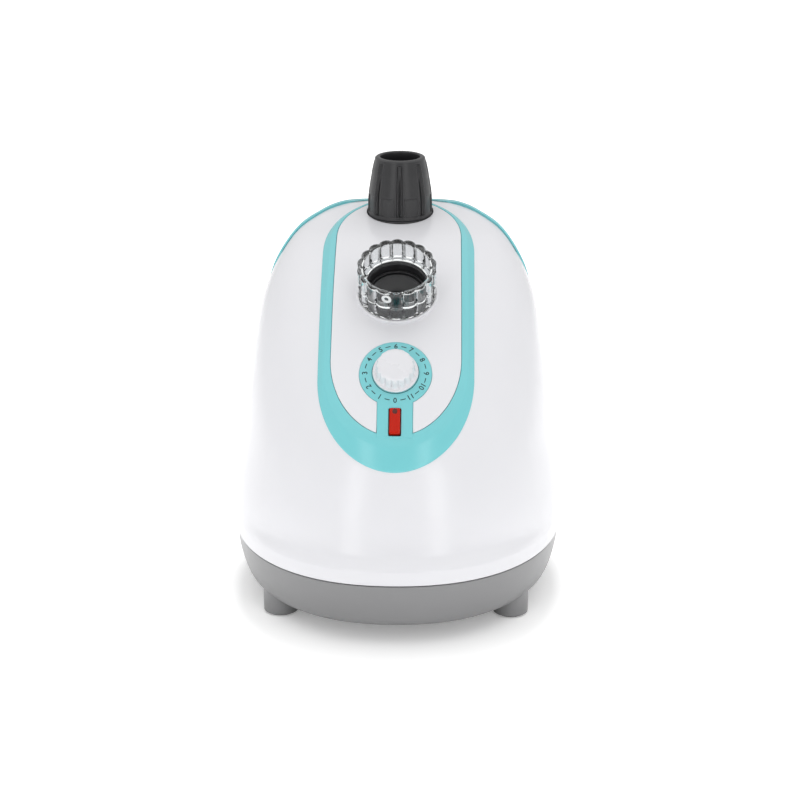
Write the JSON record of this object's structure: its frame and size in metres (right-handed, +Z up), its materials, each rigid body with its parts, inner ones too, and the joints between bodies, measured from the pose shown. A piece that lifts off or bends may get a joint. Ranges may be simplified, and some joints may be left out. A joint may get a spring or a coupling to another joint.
{
  "type": "garment steamer base unit",
  "caption": "Floor unit of an upright garment steamer: rounded casing with dial, hose outlet, pole socket and lift-off water tank.",
  "frame": {"origin": "on the floor, under the middle of the footprint", "axes": "+Z up, -Y the front with the dial, +X to the right seen from the back"},
  "size_m": [0.2454, 0.286, 0.3043],
  "materials": {
    "casing_white": "gloss",
    "panel_white": "satin",
    "trim_aqua": "gloss",
    "tub_grey": "satin",
    "dark_grey": "satin",
    "bay_grey": "satin",
    "tank_clear": "clear",
    "collar_clear": "clear",
    "lens_red": "gloss",
    "rubber_black": "matt",
    "silicone": "matt",
    "aluminium_cast": "cast",
    "steel": "plain",
    "brass": "plain",
    "ceramic_white": "matt",
    "lamp_glass": "clear"
  },
  "bodies": {
    "base": {"base_tub": "tub_grey", "boiler_cover": "aluminium_cast", "boiler_gasket": "silicone", "boiler_pan": "aluminium_cast", "boiler_screws": "steel", "boiler_stands": "ceramic_white", "control_panel": "panel_white", "cord_gland": "rubber_black", "dial_surround": "trim_aqua", "feed_hose": "silicone", "foot_back_left": "tub_grey", "foot_back_right": "tub_grey", "foot_front_left": "tub_grey", "foot_front_right": "tub_grey", "foot_pads": "rubber_black", "foot_screws": "steel", "fuse_clip": "steel", "heating_element": "steel", "hose_clamps": "steel", "indicator_lens": "lens_red", "lamp_clip": "ceramic_white", "main_shell": "casing_white", "neon_lamp": "lamp_glass", "outlet_nut": "dark_grey", "outlet_seal": "rubber_black", "outlet_socket": "dark_grey", "pole_collet": "dark_grey", "pole_socket": "dark_grey", "steam_hose": "silicone", "switch_body": "dark_grey", "switch_nut": "steel", "tank_bay": "bay_grey", "tank_seat": "bay_grey", "terminal_block": "ceramic_white", "thermal_fuse": "aluminium_cast", "thermostat": "ceramic_white", "trim_frame": "trim_aqua"},
    "tank": {"water_tank": "tank_clear", "tank_cover": "trim_aqua", "tank_cap": "dark_grey", "valve_spring": "steel", "spring_cage": "bay_grey"},
    "handle": {"tank_handle": "bay_grey"},
    "valve": {"valve_stem": "bay_grey", "valve_seal": "silicone"},
    "dial": {"dial_knob": "panel_white", "switch_shaft": "brass"},
    "collar": {"hose_collar": "collar_clear"},
    "nut": {"pole_nut": "dark_grey"},
    "drain": {"drain_plug": "dark_grey", "drain_seal": "rubber_black"}
  },
  "joints": [
    {"name": "tank_lift", "type": "slide", "parent": "base", "child": "tank", "axis": [0, 0, 1], "range_m": [0, 0.215]},
    {"name": "handle_turn", "type": "hinge", "parent": "tank", "child": "handle", "pos_m": [0, 0.1245, 0.241], "axis": [1, 0, 0], "range_deg": [0, 90]},
    {"name": "valve_lift", "type": "slide", "parent": "tank", "child": "valve", "axis": [0, 0, 1], "range_m": [0, 0.004], "stiffness_N_per_m": 150, "springref_m": -0.002, "deforming": ["valve_spring"]},
    {"name": "dial_turn", "type": "hinge", "parent": "base", "child": "dial", "pos_m": [0, -0.077, 0.1849], "axis": [0, -0.7071, 0.7071], "range_deg": [-330, 0]},
    {"name": "collar_turn", "type": "hinge", "parent": "base", "child": "collar", "pos_m": [0, -0.0216, 0.228], "axis": [0, -0.4848, 0.8746], "range_deg": [0, 60]},
    {"name": "nut_turn", "type": "hinge", "parent": "base", "child": "nut", "pos_m": [0, 0.086, 0.2592], "axis": [0, 0, 1], "range_deg": [0, 180]},
    {"name": "drain_pull", "type": "slide", "parent": "base", "child": "drain", "axis": [0, 0, -1], "range_m": [0, 0.011]}
  ]
}
